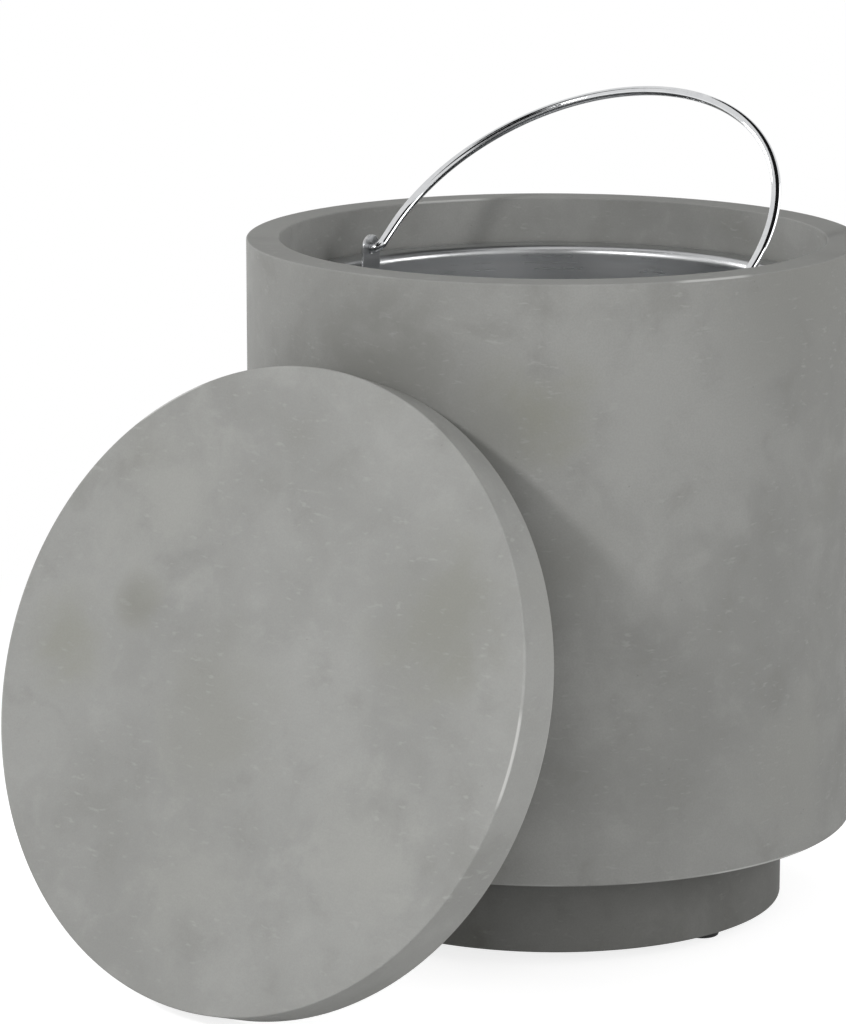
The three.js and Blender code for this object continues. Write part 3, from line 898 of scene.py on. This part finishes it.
# The bail: one round rod bent to a hoop, with an upset head on each end
def bail_stations():
    """Centre points (x, z) and radii along one half of the upright bail, from its right end to its crown."""
    ear_low, ear_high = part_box("bail_ear_right")
    ear_outer, ear_inner = ear_high.x - AXIS.x, ear_low.x - AXIS.x
    bend = ear_inner - EAR_GAP
    hoop = bend - BAIL_BEND
    head_in = ear_outer + HEAD_STANDOFF
    head_out = head_in + HEAD_THICKNESS
    head_round = arc(head_out - HEAD_ROUND, HEAD_RADIUS - HEAD_ROUND, HEAD_ROUND, 0, math.pi / 2, HEAD_STEPS)
    stations = [(x, 0.0, radius) for x, radius in head_round]
    stations += [(head_in, 0.0, HEAD_RADIUS), (head_in, 0.0, ROD_RADIUS)]
    rod = arc(bend, BAIL_BEND, BAIL_BEND, -math.pi / 2, -math.pi, BEND_STEPS)
    rod += [(hoop, BAIL_BEND + (BAIL_LEG - BAIL_BEND) * k / LEG_STEPS) for k in range(1, LEG_STEPS + 1)]
    rod += arc(0, BAIL_LEG, hoop, 0, math.pi / 2, HOOP_STEPS)[1:]
    return stations + [(x, z, ROD_RADIUS) for x, z in rod]


def rod_direction(stations, i):
    """The rod's direction at a station, between the nearest ones on each side that lie elsewhere."""
    here = stations[i]
    ahead = next((s for s in stations[i + 1:] if s[:2] != here[:2]), here)
    behind = next((s for s in reversed(stations[:i]) if s[:2] != here[:2]), here)
    return Vector((ahead[0] - behind[0], 0, ahead[1] - behind[1])).normalized()


def make_bail():
    half = bail_stations()
    stations = half + [(-x, z, r) for x, z, r in reversed(half[:-1])]
    angles = [2 * math.pi * k / ROD_TURNS for k in range(ROD_TURNS)]
    side = Vector((0, 1, 0))
    shape = bmesh.new()
    rings = []
    for i, (x, z, radius) in enumerate(stations):
        up = rod_direction(stations, i).cross(side)
        spots = [Vector((x, 0, z)) + radius * (math.cos(a) * side + math.sin(a) * up) for a in angles]
        rings.append([shape.verts.new(spot) for spot in spots])
    for low, high in zip(rings, rings[1:]):
        for k in range(ROD_TURNS):
            after = (k + 1) % ROD_TURNS
            shape.faces.new((low[k], low[after], high[after], high[k]))
    for ring in (rings[0], rings[-1]):
        shape.faces.new(ring)
    bmesh.ops.recalc_face_normals(shape, faces=shape.faces)
    for face in shape.faces:
        face.smooth = len(face.verts) < ROD_TURNS
    mesh = bpy.data.meshes.new("bail")
    shape.to_mesh(mesh)
    shape.free()
    pivot = Vector(JOINTS["bail_swing"]["pos_m"])
    pivot.x, pivot.y = AXIS.x, AXIS.y
    mesh.transform(Matrix.Translation(pivot) @ Matrix.Rotation(-BAIL_SWING, 4, "X"))
    dress(new_object("bail", mesh), "bail_chrome", "bail", "bail_handle")


# Feet and fastenings
def make_foot(i):
    """A rubber pad with a shallow hollow in its underside and a socket for its stud."""
    low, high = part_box(f"foot_pad_{i}")
    radius, top = (high.y - low.y) / 2, high.z
    hollow = radius * FOOT_HOLLOW_SHARE
    profile = rounded([
        (0, low.z + FOOT_HOLLOW),
        (hollow, low.z + FOOT_HOLLOW, FOOT_HOLLOW_ROUND),
        (hollow + FOOT_HOLLOW, low.z, FOOT_HOLLOW_ROUND),
        (radius, low.z, FOOT_BOTTOM_ROUND),
        (radius * FOOT_WAIST_SHARE, top * FOOT_WAIST_HEIGHT_SHARE, FOOT_WAIST_ROUND),
        (FOOT_TOP_RADIUS, top, FOOT_TOP_ROUND),
        (FOOT_SOCKET_RADIUS, top),
        (FOOT_SOCKET_RADIUS, FOOT_SOCKET_BOTTOM),
        (0, FOOT_SOCKET_BOTTOM),
    ])
    foot = lathe(f"foot_{i}", profile, middle_of(f"foot_pad_{i}"), SMALL_TURNS)
    dress(foot, "foot_rubber", "root", f"foot_pad_{i}")


def make_bolt(i):
    """A hexagon bolt, head down. A cone trims its head, and ends a hair lower so that no tops coincide."""
    node = f"plinth_bolt_{i}"
    low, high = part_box(node)
    centre = middle_of(node)
    head_top = low.z + BOLT_HEAD_HEIGHT
    cone_top = low.z + BOLT_HEAD_HEIGHT * CONE_HEIGHT_SHARE
    cone_edge = low.z + BOLT_CHAMFER * CHAMFER_STEEPNESS
    narrow, wide = BOLT_HEAD_RADIUS - BOLT_CHAMFER, BOLT_HEAD_RADIUS + BOLT_CHAMFER
    shank_start = low.z + BOLT_HEAD_HEIGHT / 2
    hexagon = [(0, low.z), (BOLT_HEAD_RADIUS, low.z), (BOLT_HEAD_RADIUS, head_top), (0, head_top)]
    cone = [(0, low.z), (narrow, low.z), (wide, cone_edge), (wide, cone_top), (0, cone_top)]
    shank = [(0, shank_start), (BOLT_SHANK_RADIUS, shank_start), (BOLT_SHANK_RADIUS, high.z, BOLT_TIP_ROUND),
             (0, high.z)]
    bolt = lathe(f"bolt_{i}", rounded(hexagon), centre, HEXAGON_TURNS)
    combine(bolt, lathe("cone", rounded(cone), centre, SMALL_TURNS), "INTERSECT")
    combine(bolt, lathe("shank", rounded(shank), centre, SMALL_TURNS), "UNION")
    for face in bolt.data.polygons:
        face.use_smooth = False
    dress(bolt, "zinc_steel", "root", node)


def make_washer(i):
    node = f"plinth_washer_{i}"
    low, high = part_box(node)
    profile = rounded([
        (WASHER_BORE_RADIUS, low.z),
        (WASHER_RADIUS, low.z, WASHER_EDGE),
        (WASHER_RADIUS, high.z, WASHER_EDGE),
        (WASHER_BORE_RADIUS, high.z, WASHER_EDGE),
    ], closed=True)
    washer = lathe(f"washer_{i}", profile, middle_of(node), SMALL_TURNS, closed=True)
    dress(washer, "zinc_steel", "root", node)


def finish_cad_node(node, finish):
    """A CAD node that stays as it is gets its finish."""
    shown = frame["nodes"][node]
    shown.data.materials.clear()
    shown.data.materials.append(FINISHES[finish])


make_drum()
make_plinth()
make_lid()
for i in FOURS:
    make_bumper(i)
make_bucket()
for side in ("right", "left"):
    make_ear(side)
    for end in ("front", "rear"):
        make_rivet(side, end)
make_bail()
for i in FOURS:
    make_foot(i)
    make_bolt(i)
    make_washer(i)
    finish_cad_node(f"floor_insert_{i}", "insert_brass")
    finish_cad_node(f"foot_stud_{i}", "zinc_steel")


# Stage: a pale floor that fades to white, and a white surround
FLOOR_HALF = 40.0
FLOOR_SHADE = 0.2
FADE_FROM, FADE_TO = 0.35, 1.1
FLOOR_ALBEDO = 0.6
FLOOR_SEEN_ALBEDO = 2.6
WORLD_STRENGTH = 0.42


def make_sheet(name, width, height):
    """A flat rectangle on its middle, with an empty material. Gives the object and the material's nodes."""
    w, h = width / 2, height / 2
    mesh = bpy.data.meshes.new(name)
    mesh.from_pydata([(-w, -h, 0), (w, -h, 0), (w, h, 0), (-w, h, 0)], [], [(0, 1, 2, 3)])
    material = bpy.data.materials.new(name)
    material.use_nodes = True
    material.node_tree.nodes.clear()
    mesh.materials.append(material)
    return new_object(name, mesh), Nodes(material.node_tree)


def make_floor():
    """Seen directly, a white floor with a little shade near the object. To other rays, a plain pale one."""
    floor, nodes = make_sheet("floor", 2 * FLOOR_HALF, 2 * FLOOR_HALF)
    seen = nodes.seen_directly()
    albedo = nodes.node("ShaderNodeMapRange", {
        "Value": seen, "To Min": FLOOR_ALBEDO, "To Max": FLOOR_SEEN_ALBEDO,
    }).outputs["Result"]
    where = nodes.node("ShaderNodeTexCoord").outputs["Object"]
    reach = nodes.node("ShaderNodeVectorMath", {0: where}, operation="LENGTH").outputs["Value"]
    fade = nodes.ramp(reach, FADE_FROM, FADE_TO, 1 - FLOOR_SHADE, 1.0)
    lit = nodes.node("ShaderNodeBsdfDiffuse", {"Color": albedo})
    glow = nodes.node("ShaderNodeEmission", {"Strength": 1.0})
    shown = nodes.mix_shaders(nodes.math("MULTIPLY", fade, seen), lit, glow)
    nodes.finish_with("ShaderNodeOutputMaterial", shown)


def make_world():
    """A surround that is white to look at and gives a dimmer light."""
    world = bpy.data.worlds.new("surround")
    bpy.context.scene.world = world
    world.use_nodes = True
    world.node_tree.nodes.clear()
    nodes = Nodes(world.node_tree)
    light = nodes.node("ShaderNodeBackground", {"Strength": WORLD_STRENGTH})
    white = nodes.node("ShaderNodeBackground", {"Strength": 1.0})
    nodes.finish_with("ShaderNodeOutputWorld", nodes.mix_shaders(nodes.seen_directly(), light, white))


# Camera: where the photograph was taken from, worked out from the drum's and the lid's outlines
PHOTO_HEIGHT = 1024
FOCAL_PIXELS = 4566.7
SENSOR = 36.0
CLIP_START, CLIP_END = 0.1, 200
CAMERA_DISTANCE = 2.95017
CAMERA_HEIGHT = 0.88869
CAMERA_AZIMUTH = math.radians(35.876)
CAMERA_HEADING = math.radians(-37.522)
CAMERA_PITCH = 0.20887


def direction(azimuth, rise):
    """The way outward at an angle round the object, from its front towards its right, and a height angle."""
    level = math.cos(rise)
    return Vector((math.sin(azimuth) * level, -math.cos(azimuth) * level, math.sin(rise)))


def make_camera():
    data = bpy.data.cameras.new("camera")
    camera = new_object("camera", data)
    data.sensor_width = SENSOR
    data.lens = FOCAL_PIXELS * SENSOR / PHOTO_HEIGHT
    data.clip_start, data.clip_end = CLIP_START, CLIP_END
    camera.location = AXIS + CAMERA_DISTANCE * direction(CAMERA_AZIMUTH, 0) + Vector((0, 0, CAMERA_HEIGHT))
    level = math.cos(CAMERA_PITCH)
    right, forward = math.sin(CAMERA_HEADING) * level, math.cos(CAMERA_HEADING) * level
    ahead = Vector((right, forward, -math.sin(CAMERA_PITCH)))
    camera.rotation_euler = ahead.to_track_quat("-Z", "Y").to_euler()
    bpy.context.scene.camera = camera


# Lamps: angle round the object from the camera's side, height angle, size and strength in watts
AIM = Vector((0, 0, 0.25))
LAMP_DISTANCE = 2.6
LAMPS = {
    "key": (-40, 30, 0.3, 20.0),
    "front": (0, 15, 1.8, 17.0),
    "front_right_low": (30, 5, 1.4, 5.0),
    "far_right": (80, 15, 1.4, 15.0),
    "back_left": (-130, 15, 1.2, 31.0),
    "back_right": (120, 15, 1.4, 8.0),
}

# Dark and grey cards that only reflections show, so that bright metal has something dark to mirror:
# angle round the object from the camera's side, height angle, width, height and brightness
FLAG_DISTANCE = 3.6
FLAGS = {
    "front_flag": (-14, 38, 3.0, 2.6, 0.01),
    "front_left_flag": (-75, 62, 2.2, 0.7, 0.01),
    "front_low_card": (0, 2, 3.4, 1.7, 0.2),
    "right_flag": (85, 45, 3.4, 2.8, 0.01),
    "rear_flag": (140, 60, 3.8, 2.9, 0.01),
}


def put_round(thing, front, turn, rise, distance):
    """Puts a lamp or card at angles in degrees from the camera's side, with its front axis to the object."""
    away = direction(CAMERA_AZIMUTH + math.radians(turn), math.radians(rise))
    thing.location = AIM + away * distance
    thing.rotation_euler = (-away).to_track_quat(front, "Y").to_euler()


def make_lamp(name, turn, rise, size, watts):
    """A round lamp. Reflections don't show the ones in front."""
    data = bpy.data.lights.new(name, "AREA")
    data.shape = "DISK"
    data.size = size
    data.energy = watts
    lamp = new_object("lamp_" + name, data)
    lamp.visible_glossy = not name.startswith("front")
    put_round(lamp, "-Z", turn, rise, LAMP_DISTANCE)


def make_flag(name, turn, rise, width, height, shade):
    flag, nodes = make_sheet(name, width, height)
    put_round(flag, "Z", turn, rise, FLAG_DISTANCE)
    flag.visible_camera = flag.visible_diffuse = flag.visible_shadow = flag.visible_transmission = False
    nodes.finish_with("ShaderNodeOutputMaterial", nodes.node("ShaderNodeEmission", {"Strength": shade}))


make_floor()
make_world()
for name, place in FLAGS.items():
    make_flag(name, *place)
make_camera()
for name, place in LAMPS.items():
    make_lamp(name, *place)
bpy.context.scene.view_settings.view_transform = "Standard"
